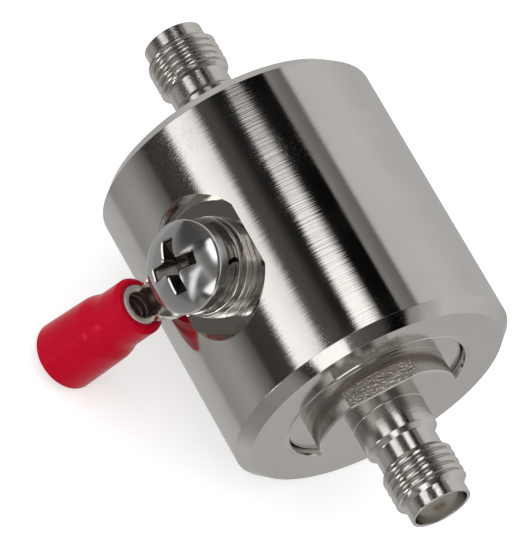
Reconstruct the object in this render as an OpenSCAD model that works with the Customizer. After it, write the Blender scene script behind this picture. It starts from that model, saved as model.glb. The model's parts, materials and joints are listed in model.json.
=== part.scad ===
// Coaxial surge protector with a threaded radio jack at each end, a gas tube
// inside and an earthing screw with a ring terminal on the side.
// Millimetres. X runs along the housing axis towards the near jack, Z is up.
// The origin is the middle of the housing on its axis. The part lies on its
// side: the housing and the rear rim of the terminal sleeve share the floor.

/* [Housing] */
// Outer diameter of the housing
body_d = 25; // [24:0.25:28]
// Length of the housing between its end faces
body_len = 26; // [25:0.5:32]
// Chamfer on both outer edges
edge_chamfer = 1; // [0.4:0.1:1.4]
// Bore of the threaded socket that takes a connector plug
socket_d = 16; // [15.8:0.1:17]
// Depth of the threaded socket from the end face
socket_depth = 5.8; // [5.4:0.1:6.2]
// Broken edge at the mouth of the socket
socket_break = 0.15; // [0.05:0.05:0.25]

/* [Earth seat] */
// Depth of the milled seat below the crown of the housing
seat_depth = 0.85; // [0.7:0.05:1]
// Diameter of the flat floor of the seat
seat_d = 10.8; // [10.4:0.1:11.4]
// Angle of the flared wall from the seat axis
seat_flare = 47; // [40:1:50]
// Depth of the tapped hole below the seat
tap_depth = 4.6; // [4.2:0.1:4.8]
// Lead-in chamfer of the tapped hole
tap_lead = 0.3; // [0.1:0.05:0.4]

/* [Connector plug] */
// How far the plug flange sits below the end face
plug_recess = 0.5; // [0.3:0.05:0.8]
// How far the boss stands out of the end face
boss_rise = 1.9; // [1.8:0.1:2.4]
// Diameter of the boss
boss_d = 12.45; // [12:0.05:13]
// Distance across the two spanner flats
flats_across = 10.85; // [10.5:0.05:11.4]
// Length of the spanner flats
flats_len = 1.5; // [1:0.1:1.7]
// Angle of the near flats from the earth screw
near_flats_turn = 40; // [0:5:90]
// Angle of the far flats from the earth screw
far_flats_turn = 65; // [0:5:90]
// Length of the spigot that enters the cavity
spigot_len = 1.2; // [0.8:0.1:1.4]
// Diameter of the pocket for the support bead
bead_pocket_d = 8; // [7.6:0.1:8.6]
// Depth of the pocket for the support bead
bead_pocket_depth = 2.5; // [2.2:0.1:3]

/* [Jack] */
// Diameter over the thread and the base
jack_d = 6.3; // [6.2:0.05:6.4]
// Diameter of the neck behind the thread
neck_d = 5.4; // [5.2:0.05:5.6]
// Diameter of the nose in front of the thread
nose_d = 5.3; // [5.2:0.05:5.5]
// Length of the base next to the boss
base_len = 2.45; // [2:0.05:3]
// Length of the slope between base and neck
slope_len = 0.4; // [0.3:0.05:0.5]
// Length of the neck
neck_len = 1.55; // [1.2:0.05:2]
// Length of the threaded stretch
thread_len = 3.55; // [3.2:0.05:4.2]
// Length of the nose
nose_len = 1.15; // [0.9:0.05:1.4]
// Chamfer at both ends of the thread
thread_chamfer = 0.3; // [0.2:0.05:0.35]
// Diameter of the mouth
mouth_d = 4.7; // [4.6:0.02:4.8]
// Depth of the mouth down to the insulator
mouth_depth = 1.9; // [1.6:0.05:2.2]
// Diameter of the insulator bore
line_bore_d = 4.1; // [4:0.02:4.3]

/* [Line] */
// Diameter of a socket contact
contact_d = 1.27; // [1.22:0.01:1.32]
// Hole in the contact for the mating pin
pin_hole_d = 0.94; // [0.9:0.01:0.98]
// Depth of the hole for the mating pin
pin_hole_depth = 2.6; // [2.4:0.1:3]
// Length of a socket contact
contact_len = 5; // [4.8:0.1:5.6]
// Width of the slots in the contact
slot_w = 0.14; // [0.1:0.01:0.16]
// Length of the slots in the contact
slot_len = 2.2; // [1.8:0.1:2.3]
// Diameter of the tail that is soldered into the contact
tail_d = 0.76; // [0.7:0.02:0.8]
// Length of that tail
tail_len = 1.5; // [1.2:0.1:1.8]
// Diameter of the thin ends of the conductor
lead_d = 1.2; // [1.1:0.02:1.24]
// Diameter of the thick middle of the conductor
core_d = 3.2; // [3:0.1:3.4]
// Depth of the flat on which the gas tube stands
core_flat = 0.2; // [0.1:0.05:0.3]

/* [Gas tube] */
// Outer diameter of the ceramic ring
tube_d = 5; // [4.8:0.1:5.4]
// Wall of the ceramic ring
tube_wall = 0.8; // [0.7:0.05:1]
// Height of the ceramic ring
tube_len = 3; // [2.8:0.05:3.3]
// Thickness of the rim of each end cap
cap_t = 0.6; // [0.5:0.05:0.8]
// How far the rim of a cap stays inside the ceramic ring
cap_step = 0.2; // [0.1:0.05:0.3]
// Bevel on the rim of a cap
cap_bevel = 0.2; // [0.1:0.05:0.3]
// Diameter of the electrode on each end cap
electrode_d = 2.4; // [2.2:0.1:2.8]
// Length of the electrode on each end cap
electrode_len = 1.2; // [1.1:0.05:1.3]
// Bevel on the electrode
electrode_bevel = 0.3; // [0.1:0.05:0.5]
// Thickness of the leaf spring
leaf_t = 0.2; // [0.15:0.05:0.3]
// Height of the bow in the leaf spring
leaf_bow = 0.2; // [0.1:0.05:0.3]
// Length of the leaf spring
leaf_len = 8; // [7:0.5:9]
// Width of the leaf spring
leaf_w = 2.4; // [2:0.1:2.8]

/* [Seal] */
// Thickness of the ring cord
ring_cord = 0.8; // [0.6:0.05:1]

/* [Earth screw] */
// Diameter of the screw thread
screw_d = 4; // [3.9:0.05:4.1]
// Length of the screw under its head
screw_len = 6; // [5.6:0.1:6.2]
// Diameter of the head
head_d = 7.7; // [7.4:0.1:8]
// Height at which the dome would meet the rim of the head, were it sharp
head_rim = 1.25; // [1:0.05:1.4]
// Height of the dome above that
head_dome = 1.65; // [1.4:0.05:1.9]
// Radius of the rounded shoulder between rim and dome
head_shoulder = 0.5; // [0.3:0.05:0.7]
// Chamfer at the tip of the screw
screw_tip = 0.4; // [0.2:0.05:0.6]
// Bevel round the bottom of the head
head_bevel = 0.2; // [0.1:0.05:0.3]
// Span of the cross recess
cross_span = 4.6; // [4.2:0.1:4.8]
// Width of each arm of the cross recess
cross_w = 1; // [0.8:0.05:1.1]
// Depth of the cross recess
cross_depth = 2; // [1.6:0.1:2.2]
// Depth at the ends of its arms
cross_rim_depth = 0.6; // [0.4:0.05:0.8]
// Angle of the cross from the housing axis
cross_turn = 16; // [0:1:89]

/* [Washers] */
// Outer diameter of the split lock washer
lock_d = 7; // [6.8:0.1:7.4]
// Thickness of the split lock washer
lock_t = 1.1; // [0.9:0.05:1.2]
// Width of the split
lock_gap = 0.35; // [0.2:0.05:0.6]
// Slant of the split
lock_slant = 25; // [15:5:35]
// Angle of the split from the near jack
lock_turn = 60; // [0:5:355]
// Outer diameter of the flat washer
flat_d = 8; // [7.8:0.1:8.4]
// Thickness of the flat washer
flat_t = 0.8; // [0.7:0.05:0.9]
// Hole of both washers and of the ring terminal
washer_hole_d = 4.3; // [4.25:0.05:4.5]

/* [Ring terminal] */
// Outer diameter of the ring
tongue_d = 8.2; // [7.8:0.1:8.6]
// Thickness of the sheet it is stamped from
sheet_t = 0.6; // [0.5:0.05:0.7]
// Width of the neck between ring and barrel
tongue_neck_w = 4.6; // [4.2:0.1:5]
// Radius of the fillet between ring and neck
tongue_fillet = 1.5; // [1:0.1:2]
// How much the cut from the strip takes off the tip of the ring
tip_cut = 0.15; // [0.05:0.05:0.3]
// Outer diameter of the barrel
barrel_d = 3.52; // [3.4:0.02:3.6]
// Length of the barrel
barrel_len = 4.8; // [4.6:0.1:5.4]
// Distance from the screw axis to the barrel
barrel_reach = 7.1; // [7:0.05:7.4]
// Downward bend of the barrel
barrel_bend = 6.8; // [5:0.2:8]
// Bevel inside the mouth of the barrel
mouth_bevel = 0.2; // [0.1:0.05:0.3]
// Number of grip grooves in the barrel
groove_n = 3; // [1:1:3]
// Width of a grip groove
groove_w = 0.2; // [0.1:0.05:0.25]
// Distance between grip grooves
groove_pitch = 0.7; // [0.6:0.05:0.8]
// Depth of a grip groove
groove_depth = 0.1; // [0.05:0.01:0.15]
// Swing of the terminal towards the far jack
swing = 12; // [0:1:12]

/* [Terminal sleeve] */
// Diameter of the sleeve over the barrel
sleeve_d = 5; // [4.8:0.05:5]
// Diameter at the end of the flare
flare_d = 5.78; // [5.6:0.02:6]
// Diameter at the rear rim
rim_d = 6.04; // [5.8:0.02:6.2]
// Length of the sleeve
sleeve_len = 10.3; // [9.8:0.1:11]
// How far the sleeve starts behind the front of the barrel
sleeve_setback = 0.14; // [0.1:0.02:0.2]
// Start of the flare from the front of the sleeve
flare_start = 2.7; // [2.2:0.1:3.2]
// Length of the flare
flare_len = 2.2; // [2:0.1:3]
// Gap between the sleeve and the housing
sleeve_gap = 0.08; // [0.06:0.01:0.3]
// Wall of the sleeve at the rear
sleeve_wall = 0.6; // [0.56:0.02:0.7]
// Length of the funnel behind the barrel
funnel_len = 1.2; // [0.8:0.1:1.6]
// Bevel on the front edge
sleeve_bevel = 0.35; // [0.2:0.05:0.5]
// Rounding of the rear rim
rim_round = 0.28; // [0.2:0.02:0.3]

/* [Fits] */
// Radial clearance of the screw in its tapped hole
run_fit = 0.05; // [0.02:0.01:0.08]
// Clearance between pieces that are pushed together
seat_fit = 0.03; // [0.02:0.005:0.05]

/* [Hidden] */
$fn = 72;
// How far a cutter reaches past the face that it cuts
over = 1;
// How far joined shapes of one piece reach into each other
scoop_lap = 0.1;
// How far the end of the scoop lies inside the skin of the barrel
scoop_skin = 0.03;
// Steps along and across the scoop
scoop_n = 10;
scoop_m = 12;
body_r = body_d / 2;
face_x = body_len / 2;
// Places along the near half, from the middle outwards
socket_floor_x = face_x - socket_depth;
plug_back_x = socket_floor_x + seat_fit;
spigot_end_x = plug_back_x - spigot_len;
bead_seat_x = spigot_end_x + bead_pocket_depth;
plug_face_x = face_x - plug_recess;
boss_top_x = face_x + boss_rise;
slope_x = boss_top_x + base_len;
neck_x = slope_x + slope_len;
thread_x = neck_x + neck_len;
nose_x = thread_x + thread_len;
mouth_x = nose_x + nose_len;
line_end_x = mouth_x - mouth_depth;
contact_back_x = line_end_x - contact_len;
// Heights from the housing axis towards the earth screw
seat_h = body_r - seat_depth;
seat_edge = sqrt(body_r * body_r - seat_h * seat_h);
flat_h = seat_h + sheet_t;
lock_h = flat_h + flat_t;
head_h = lock_h + lock_t;
// Heights from the housing axis towards the gas tube
tube_foot = core_d / 2 - core_flat;
tube_low = tube_foot + seat_fit + cap_t;
tube_high = tube_low + tube_len;
tube_top = tube_high + cap_t;
leaf_foot = tube_top + seat_fit + leaf_bow + leaf_t;
cavity_d = 2 * norm([leaf_foot + seat_fit, leaf_w / 2]);
ring_mid_r = (cavity_d + socket_d) / 4;
// Sleeve and barrel, measured along the barrel line from the screw axis
sleeve_x = barrel_reach + sleeve_setback;
sleeve_end_x = sleeve_x + sleeve_len;
barrel_end_x = barrel_reach + barrel_len;
flare_x = sleeve_x + flare_start;
flare_end_x = flare_x + flare_len;
funnel_x = barrel_end_x + seat_fit + funnel_len;
bore_r = barrel_d / 2 - sheet_t;

// Distance from the housing axis to a point of the sleeve, which lies at the
// distance d along its line, at the radius r and at the angle a round it, when
// that line passes the screw axis at the height h
function point_out(h, d, r, a) = norm([h - d * sin(barrel_bend) + r * cos(a) * cos(barrel_bend),
    (d * cos(barrel_bend) + r * cos(a) * sin(barrel_bend)) * cos(swing) - r * sin(a) * sin(swing)]);
function closest(h) = min([for (a = [90:5:270], b = [0, sleeve_bevel])
    point_out(h, sleeve_x + b, sleeve_d / 2 - sleeve_bevel + b, a)]);
// Height at which the front of the sleeve just clears the housing, by halving
function clear_height(lo, hi, n) = n == 0 ? hi : closest((lo + hi) / 2) < body_r + sleeve_gap
    ? clear_height((lo + hi) / 2, hi, n - 1) : clear_height(lo, (lo + hi) / 2, n - 1);
barrel_h = clear_height(seat_h, seat_h + sleeve_d, 30);

// Height of the lowest point of the rounded rear rim of the sleeve when the
// earth screw points up from the horizontal by the angle a
function rim_low(a) = (barrel_h - (sleeve_end_x - rim_round) * sin(barrel_bend)) * sin(a)
    - (sleeve_end_x - rim_round) * cos(barrel_bend) * cos(swing) * cos(a) - rim_round
    - (rim_d / 2 - rim_round) * sqrt(1 - pow(sin(barrel_bend) * sin(a)
        + cos(barrel_bend) * cos(swing) * cos(a), 2));
// Angle at which the rim lies as low as the housing, by halving
function rest_angle(lo, hi, n) = n == 0 ? (lo + hi) / 2 : rim_low((lo + hi) / 2) < -body_r
    ? rest_angle((lo + hi) / 2, hi, n - 1) : rest_angle(lo, (lo + hi) / 2, n - 1);
screw_rise = rest_angle(0, 60, 40);

// The scoop of the terminal runs from where its neck is straight to the barrel
scoop_x = sqrt(pow(tongue_d / 2 + tongue_fillet, 2) - pow(tongue_neck_w / 2 + tongue_fillet, 2));
scoop_end_x = barrel_reach * cos(barrel_bend) + scoop_lap;
dip_x = seat_edge / cos(swing) + tongue_neck_w / 2 * tan(swing);

brass = [0.72, 0.71, 0.69];
steel = [0.66, 0.66, 0.67];
tin = [0.74, 0.73, 0.71];
gold = [0.83, 0.66, 0.33];
copper = [0.78, 0.58, 0.36];
ptfe = [0.94, 0.94, 0.92];
ceramic = [0.93, 0.9, 0.84];
vinyl = [0.75, 0.02, 0.12];
rubber = [0.08, 0.08, 0.08];

// Turns the screw line, drawn along Z, to where it points at rest
module resting() { rotate([90 - screw_rise, 0, 0]) children(); }

// A turned solid along X from a list of [x, radius] corners
module turned(corners) {
    rotate([0, 90, 0]) rotate_extrude() polygon([for (c = corners) [c[1], c[0]]]);
}

// A plain round bar or hole along X
module bar(x0, x1, d) { translate([x0, 0, 0]) rotate([0, 90, 0]) cylinder(h = x1 - x0, d = d); }

module at_far() { rotate([0, 0, 180]) children(); }

module socket_cut() {
    bar(socket_floor_x, face_x + over, socket_d);
    turned([[face_x - socket_break, 0], [face_x - socket_break, socket_d / 2],
        [face_x + over, socket_d / 2 + socket_break + over], [face_x + over, 0]]);
}

module seat_cut() {
    flare_h = seat_depth + over;
    tap_r = screw_d / 2 + run_fit;
    translate([0, 0, seat_h])
        cylinder(h = flare_h, r1 = seat_d / 2, r2 = seat_d / 2 + flare_h * tan(seat_flare));
    translate([0, 0, seat_h - tap_depth]) cylinder(h = tap_depth + over, r = tap_r);
    translate([0, 0, seat_h - tap_lead])
        cylinder(h = tap_lead + over, r1 = tap_r, r2 = tap_r + tap_lead + over);
}

// Turned housing, bored through, with a threaded socket at each end and the
// milled seat of the earth screw on its side
module housing() {
    color(brass) resting() difference() {
        turned([[-face_x, 0], [-face_x, body_r - edge_chamfer], [edge_chamfer - face_x, body_r],
            [face_x - edge_chamfer, body_r], [face_x, body_r - edge_chamfer], [face_x, 0]]);
        bar(-face_x - over, face_x + over, cavity_d);
        socket_cut();
        at_far() socket_cut();
        seat_cut();
    }
}

module flats_cut(turn) {
    rotate([-turn, 0, 0]) for (side = [0, 180]) rotate([side, 0, 0])
        translate([boss_top_x - flats_len, -boss_d, flats_across / 2])
            cube([flats_len, 2 * boss_d, boss_d]);
}

// Connector plug: flange and boss screwed into the housing, jack in one piece
module plug(turn) {
    flange_r = socket_d / 2 - seat_fit;
    spigot_r = cavity_d / 2 - seat_fit;
    jack_r = jack_d / 2;
    difference() {
        turned([[spigot_end_x, 0], [spigot_end_x, spigot_r], [plug_back_x, spigot_r],
            [plug_back_x, flange_r], [plug_face_x - socket_break, flange_r],
            [plug_face_x, flange_r - socket_break], [plug_face_x, boss_d / 2],
            [boss_top_x - socket_break, boss_d / 2], [boss_top_x, boss_d / 2 - socket_break],
            [boss_top_x, jack_r], [slope_x, jack_r], [neck_x, neck_d / 2], [thread_x, neck_d / 2],
            [thread_x + thread_chamfer, jack_r], [nose_x - thread_chamfer, jack_r],
            [nose_x, nose_d / 2], [mouth_x, nose_d / 2], [mouth_x, 0]]);
        flats_cut(turn);
        bar(spigot_end_x - over, bead_seat_x, bead_pocket_d);
        bar(spigot_end_x, mouth_x, line_bore_d);
        bar(line_end_x, mouth_x + over, mouth_d);
        seal_groove();
    }
}

module seal_groove() {
    half_w = ring_cord / 2 + seat_fit;
    groove_end_x = socket_floor_x + ring_cord + 2 * seat_fit;
    turned([[plug_back_x - over, ring_mid_r - half_w], [plug_back_x - over, ring_mid_r + half_w],
        [groove_end_x, ring_mid_r + half_w], [groove_end_x, ring_mid_r - half_w]]);
}

module near_plug() { color(brass) resting() plug(near_flats_turn); }
module far_plug() { color(brass) resting() at_far() plug(far_flats_turn); }

// Rubber ring between the plug and the floor of the socket
module seal() {
    translate([socket_floor_x + seat_fit + ring_cord / 2, 0, 0]) rotate([0, 90, 0])
        rotate_extrude() translate([ring_mid_r, 0]) circle(d = ring_cord);
}

module near_seal() { color(rubber) resting() seal(); }
module far_seal() { color(rubber) resting() at_far() seal(); }

// Bead that centres the conductor in the back of the plug
module bead() {
    difference() {
        turned([[spigot_end_x, 0], [spigot_end_x, bead_pocket_d / 2 - seat_fit],
            [bead_seat_x - seat_fit, bead_pocket_d / 2 - seat_fit], [bead_seat_x - seat_fit, 0]]);
        bar(spigot_end_x - over, bead_seat_x + over, lead_d + 2 * seat_fit);
    }
}

module near_bead() { color(ptfe) resting() bead(); }
module far_bead() { color(ptfe) resting() at_far() bead(); }

// Tube of insulator round the contact, flush with the shoulder of the mouth
module insulator() {
    difference() {
        bar(bead_seat_x, line_end_x, line_bore_d - 2 * seat_fit);
        bar(bead_seat_x - over, line_end_x + over, contact_d + 2 * seat_fit);
    }
}

module near_insulator() { color(ptfe) resting() insulator(); }
module far_insulator() { color(ptfe) resting() at_far() insulator(); }

// Socket contact with four sprung fingers, closed on the tail of the conductor
module contact() {
    difference() {
        bar(contact_back_x, line_end_x, contact_d);
        bar(line_end_x - pin_hole_depth, line_end_x + over, pin_hole_d);
        bar(contact_back_x - over, contact_back_x + tail_len + seat_fit, tail_d + 2 * seat_fit);
        for (turn = [45, 135]) rotate([turn, 0, 0])
            translate([line_end_x - slot_len, -contact_d, -slot_w / 2])
                cube([slot_len + over, 2 * contact_d, slot_w]);
    }
}

module near_contact() { color(gold) resting() contact(); }
module far_contact() { color(gold) resting() at_far() contact(); }

// Conductor through the cavity, thick in the middle, with a flat for the tube
module centre_conductor() {
    core_end_x = spigot_end_x - seat_fit;
    lead_end_x = contact_back_x - seat_fit;
    color(copper) resting() difference() {
        union() {
            bar(-core_end_x, core_end_x, core_d);
            bar(-lead_end_x, lead_end_x, lead_d);
            bar(-lead_end_x - tail_len, lead_end_x + tail_len, tail_d);
        }
        translate([-tube_d / 2 - seat_fit, -core_d, -tube_foot - core_d])
            cube([tube_d + 2 * seat_fit, 2 * core_d, core_d]);
    }
}

// Ceramic ring of the gas tube
module gas_tube_ring() {
    color(ceramic) resting() translate([0, 0, -tube_high]) difference() {
        cylinder(h = tube_len, d = tube_d);
        translate([0, 0, -over]) cylinder(h = tube_len + 2 * over, d = tube_d - 2 * tube_wall);
    }
}

// End cap of the gas tube with its electrode pointing up
module tube_cap() {
    rim_r = tube_d / 2 - cap_step;
    tip_h = cap_t + electrode_len;
    rotate_extrude() polygon([[0, 0], [rim_r - cap_bevel, 0], [rim_r, cap_bevel], [rim_r, cap_t],
        [electrode_d / 2, cap_t], [electrode_d / 2, tip_h - electrode_bevel],
        [electrode_d / 2 - electrode_bevel, tip_h], [0, tip_h]]);
}

module gas_tube_line_cap() {
    color(steel) resting() translate([0, 0, cap_t - tube_low]) rotate([180, 0, 0]) tube_cap();
}

module gas_tube_earth_cap() {
    color(steel) resting() translate([0, 0, -tube_top]) tube_cap();
}

// Bowed leaf that presses the gas tube against the conductor
module gas_tube_spring() {
    bow_r = (pow(leaf_len / 2, 2) + pow(leaf_bow, 2)) / (2 * leaf_bow);
    color(copper) resting() rotate([90, 0, 0]) translate([0, 0, -leaf_w / 2])
        linear_extrude(leaf_w) intersection() {
            translate([0, leaf_bow - leaf_foot - bow_r]) difference() {
                circle(r = bow_r + leaf_t);
                circle(r = bow_r);
            }
            translate([-leaf_len / 2, -leaf_foot]) square([leaf_len, leaf_foot]);
        }
}

module cross_recess() {
    for (turn = [0, 90]) rotate([90, 0, turn - cross_turn]) translate([0, 0, -cross_w / 2])
        linear_extrude(cross_w) polygon([[-cross_span / 2, over], [-cross_span / 2, -cross_rim_depth],
            [-cross_w / 2, -cross_depth], [cross_w / 2, -cross_depth],
            [cross_span / 2, -cross_rim_depth], [cross_span / 2, over]]);
}

// Pan head machine screw with a cross recess. The shoulder of its head stops a
// step before the dome and runs straight on, so that the dome cuts it cleanly.
module earth_screw() {
    head_t = head_rim + head_dome;
    dome_r = (pow(head_d / 2, 2) + pow(head_dome, 2)) / (2 * head_dome);
    reach = dome_r - head_shoulder;
    inner_r = head_d / 2 - head_shoulder;
    full_turn = acos(inner_r / reach);
    round_h = head_t - dome_r + reach * sin(full_turn);
    rim = [[0, 0], [head_d / 2 - head_bevel, 0], [head_d / 2, head_bevel]];
    shoulder_n = 5;
    shoulder = [for (i = [0:shoulder_n - 1]) let (a = full_turn * i / shoulder_n)
        [inner_r + head_shoulder * cos(a), round_h + head_shoulder * sin(a)]];
    last_a = full_turn * (shoulder_n - 1) / shoulder_n;
    run_out = shoulder[shoulder_n - 1] + head_shoulder * [-sin(last_a), cos(last_a)];
    color(steel) resting() translate([0, 0, head_h]) difference() {
        union() {
            intersection() {
                rotate_extrude() polygon(concat(rim, shoulder,
                    [run_out, [run_out.x, head_t + over], [0, head_t + over]]));
                translate([0, 0, head_t - dome_r]) sphere(r = dome_r);
            }
            rotate_extrude() polygon([[0, -screw_len], [screw_d / 2 - screw_tip, -screw_len],
                [screw_d / 2, screw_tip - screw_len], [screw_d / 2, head_bevel], [0, head_bevel]]);
        }
        translate([0, 0, head_t]) cross_recess();
    }
}

// Spring steel ring, cut through at a slant
module lock_washer() {
    color(steel) resting() translate([0, 0, lock_h]) difference() {
        cylinder(h = lock_t, d = lock_d);
        translate([0, 0, -over]) cylinder(h = lock_t + 2 * over, d = washer_hole_d);
        rotate([0, 0, lock_turn]) translate([0, 0, lock_t / 2]) rotate([lock_slant, 0, 0])
            translate([0, -lock_gap / 2, -lock_t]) cube([lock_d, lock_gap, 2 * lock_t]);
    }
}

module flat_washer() {
    color(steel) resting() translate([0, 0, flat_h]) difference() {
        cylinder(h = flat_t, d = flat_d);
        translate([0, 0, -over]) cylinder(h = flat_t + 2 * over, d = washer_hole_d);
    }
}

// Turns a terminal, drawn along X, to where it points at rest
module swung() { resting() rotate([0, 0, -90 - swing]) children(); }

// The barrel line, drawn along X from above the screw axis
module along_barrel() { translate([0, 0, barrel_h]) rotate([0, barrel_bend, 0]) children(); }

module tongue_outline() {
    ring_r = tongue_d / 2;
    neck_y = tongue_neck_w / 2;
    fillet_y = neck_y + tongue_fillet;
    touch = ring_r / (ring_r + tongue_fillet);
    difference() {
        union() {
            circle(r = ring_r);
            polygon([[0, -neck_y], [scoop_x * touch, -fillet_y * touch], [scoop_x, -fillet_y],
                [scoop_x, fillet_y], [scoop_x * touch, fillet_y * touch], [0, neck_y]]);
        }
        for (side = [-1, 1]) translate([scoop_x, side * fillet_y]) circle(r = tongue_fillet);
        circle(d = washer_hole_d);
        translate([-ring_r - over + tip_cut, -ring_r]) square([over, tongue_d]);
    }
}

function ease(t) = t * t * (3 - 2 * t);
function share(x, x0) = ease(max(0, min(1, (x - x0) / (scoop_end_x - x0))));
// Lowest line of the barrel, seen from the side
function barrel_low(x) = barrel_h - x * tan(barrel_bend) - (barrel_d / 2 - scoop_skin) / cos(barrel_bend);
// A point of the scoop in section i, at the place j across its sheet. The
// sheet starts flat and as wide as the neck, and curls round a line along X
// until it is as round as the barrel.
function scoop_point(i, j, inner) = let (
        x = i == 0 ? scoop_x - scoop_lap : scoop_x + (scoop_end_x - scoop_x) * (i - 1) / (scoop_n - 1),
        curled = share(x, scoop_x),
        barrel_r = barrel_d / 2 - scoop_skin,
        width = tongue_neck_w + (PI * barrel_r - tongue_neck_w) * curled,
        across = width * (j / scoop_m - 0.5),
        turn = across * curled / barrel_r * 180 / PI,
        roll_r = barrel_r / max(curled, 0.001),
        y = curled == 0 ? across : roll_r * sin(turn),
        z = curled == 0 ? 0 : roll_r * (1 - cos(turn)),
        low = seat_h + (barrel_low(x) - seat_h) * share(x, dip_x),
        t = sheet_t - 2 * scoop_skin * curled)
    inner ? [x, y - t * sin(turn), low + z + t * cos(turn)] : [x, y, low + z];

module scoop() {
    ring_n = 2 * (scoop_m + 1);
    points = [for (i = [0:scoop_n]) each concat(
        [for (j = [0:scoop_m]) scoop_point(i, j, false)],
        [for (j = [scoop_m:-1:0]) scoop_point(i, j, true)])];
    sides = [for (i = [0:scoop_n - 1], k = [0:ring_n - 1]) let (
            a = i * ring_n + k, b = i * ring_n + (k + 1) % ring_n)
        each [[a, b + ring_n, b], [a, a + ring_n, b + ring_n]]];
    first = [for (j = [0:scoop_m - 1]) each [[j, j + 1, ring_n - 1 - j],
        [j + 1, ring_n - 2 - j, ring_n - 1 - j]]];
    last = [for (f = first) [for (k = [2, 1, 0]) f[k] + scoop_n * ring_n]];
    polyhedron(points = points, faces = concat(sides, first, last));
}

// Ring terminal: one stamped sheet, flat at the screw and rolled into a barrel
module ring_terminal() {
    color(tin) swung() union() {
        translate([0, 0, seat_h]) linear_extrude(sheet_t) tongue_outline();
        scoop();
        along_barrel() difference() {
            bar(barrel_reach, barrel_end_x, barrel_d);
            bar(barrel_reach - over, barrel_end_x + over, 2 * bore_r);
            turned([[barrel_reach - over, 0], [barrel_reach - over, bore_r + mouth_bevel + over],
                [barrel_reach + mouth_bevel, bore_r], [barrel_reach + mouth_bevel, 0]]);
            for (i = [1:groove_n]) translate([barrel_reach + i * groove_pitch, 0, 0])
                bar(0, groove_w, 2 * (bore_r + groove_depth));
        }
    }
}

// Soft vinyl sleeve on the barrel, flared at the rear for the wire insulation
module terminal_sleeve() {
    grip_r = barrel_d / 2 + seat_fit;
    rear_r = rim_d / 2 - sleeve_wall;
    flare_n = 8;
    color(vinyl) swung() along_barrel() turned(concat(
        [[sleeve_x, grip_r], [sleeve_x, sleeve_d / 2 - sleeve_bevel],
            [sleeve_x + sleeve_bevel, sleeve_d / 2]],
        [for (i = [0:flare_n]) [flare_x + flare_len * i / flare_n,
            sleeve_d / 2 + (flare_d - sleeve_d) / 2 * ease(i / flare_n)]],
        [for (a = [90:-30:-90]) [sleeve_end_x - rim_round + rim_round * cos(a),
            rim_d / 2 - rim_round + rim_round * sin(a)]],
        [[sleeve_end_x - 2 * rim_round, rear_r], [funnel_x, rear_r], [barrel_end_x + seat_fit, grip_r]]));
}

housing();
near_plug();
far_plug();
near_seal();
far_seal();
near_bead();
far_bead();
near_insulator();
far_insulator();
near_contact();
far_contact();
centre_conductor();
gas_tube_ring();
gas_tube_line_cap();
gas_tube_earth_cap();
gas_tube_spring();
earth_screw();
lock_washer();
flat_washer();
ring_terminal();
terminal_sleeve();
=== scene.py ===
import json
import math

import bpy
import numpy as np
from mathutils import Matrix, Vector


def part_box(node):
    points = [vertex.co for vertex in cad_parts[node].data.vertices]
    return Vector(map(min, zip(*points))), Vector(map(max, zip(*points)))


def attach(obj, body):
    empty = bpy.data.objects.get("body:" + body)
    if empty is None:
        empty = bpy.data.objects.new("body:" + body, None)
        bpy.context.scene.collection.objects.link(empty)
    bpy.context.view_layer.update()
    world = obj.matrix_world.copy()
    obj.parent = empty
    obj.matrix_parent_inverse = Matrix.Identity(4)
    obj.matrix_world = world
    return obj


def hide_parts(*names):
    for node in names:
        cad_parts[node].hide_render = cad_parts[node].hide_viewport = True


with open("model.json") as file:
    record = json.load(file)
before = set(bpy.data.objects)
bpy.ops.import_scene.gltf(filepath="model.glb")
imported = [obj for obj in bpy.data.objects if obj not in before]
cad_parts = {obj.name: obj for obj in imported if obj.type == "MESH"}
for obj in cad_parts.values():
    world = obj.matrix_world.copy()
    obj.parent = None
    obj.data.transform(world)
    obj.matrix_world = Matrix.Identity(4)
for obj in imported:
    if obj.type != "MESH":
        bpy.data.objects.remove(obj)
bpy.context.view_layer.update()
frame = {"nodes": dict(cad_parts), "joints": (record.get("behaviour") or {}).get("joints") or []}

# Housing: a length of brass bar, turned and bored through, then nickel plated.
# The seat of the earth screw is milled into its crown, and both ends are bored
# out for the connector plugs. Here and below, sizes are in millimetres.
MM = 0.001
housing_low, housing_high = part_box("housing")
body_r = round(housing_high.z / MM, 2)
face_x = round(housing_high.x / MM, 2)
edge_chamfer = 1.0
edge_round = 0.05
socket_r = 8.0
socket_depth = 5.8
socket_break = 0.15
socket_round = 0.03
lip_w = 0.4
lip_h = 0.08
lip_round = 0.04
lip_foot_round = 0.02
cavity_r = 6.207
seat_h = 11.65
seat_floor_r = 5.4
seat_flare = math.radians(47)
tap_r = 2.05
tap_lead = 0.3
tap_depth = 4.6

# The drawing axes of the part, as rows: X along the housing, Z along the earth
# screw, and Y across both.
screw_line = np.array(next(j for j in frame["joints"] if j["name"] == "lug_swivel")["axis"])
housing_line = np.array([1.0, 0.0, 0.0])
DRAWN_AXES = np.stack([housing_line, np.cross(screw_line, housing_line), screw_line])


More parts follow.
